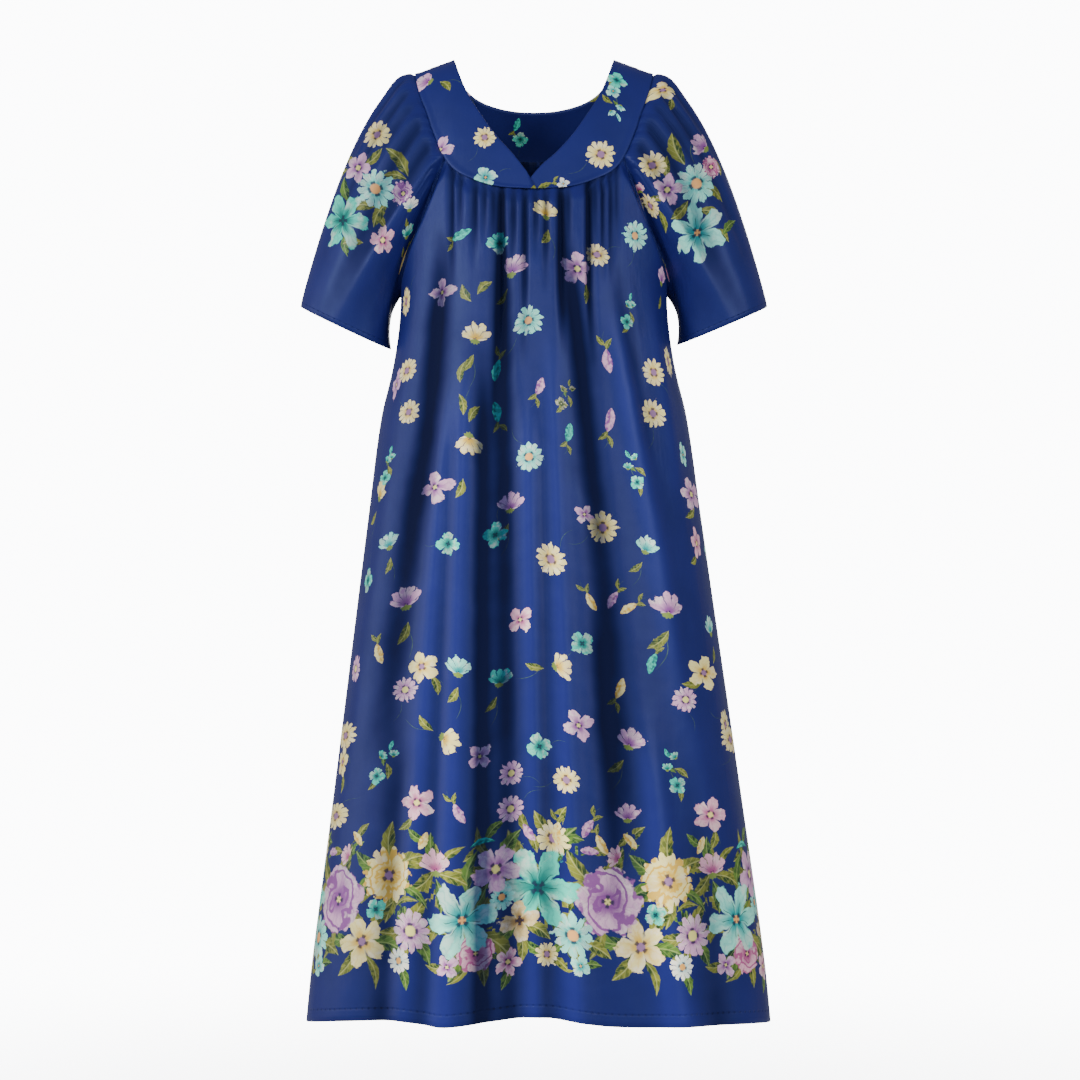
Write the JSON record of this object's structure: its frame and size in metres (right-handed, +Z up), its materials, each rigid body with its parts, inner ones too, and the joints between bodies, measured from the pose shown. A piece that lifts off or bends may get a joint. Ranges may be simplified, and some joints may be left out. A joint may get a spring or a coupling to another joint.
{
  "type": "house dress",
  "caption": "Long loose house dress in blue printed satin: round gathered yoke, shallow V neck, short full sleeves and flared hem, filled out as worn.",
  "frame": {"origin": "halfway between the two points where the neckline meets the shoulder seams", "axes": "+X to the wearer's left, +Y to the wearer's back, +Z up"},
  "size_m": [0.635, 0.3411, 1.2968],
  "materials": {
    "satin": "soft-sheen printed polyester satin, royal blue ground with flowers"
  },
  "bodies": {
    "root": {"yoke_front_right": "satin", "yoke_front_left": "satin", "yoke_back": "satin", "yoke_back_facing": "satin", "front_panel": "satin", "back_panel": "satin", "sleeve_right": "satin", "sleeve_left": "satin"}
  },
  "joints": []
}
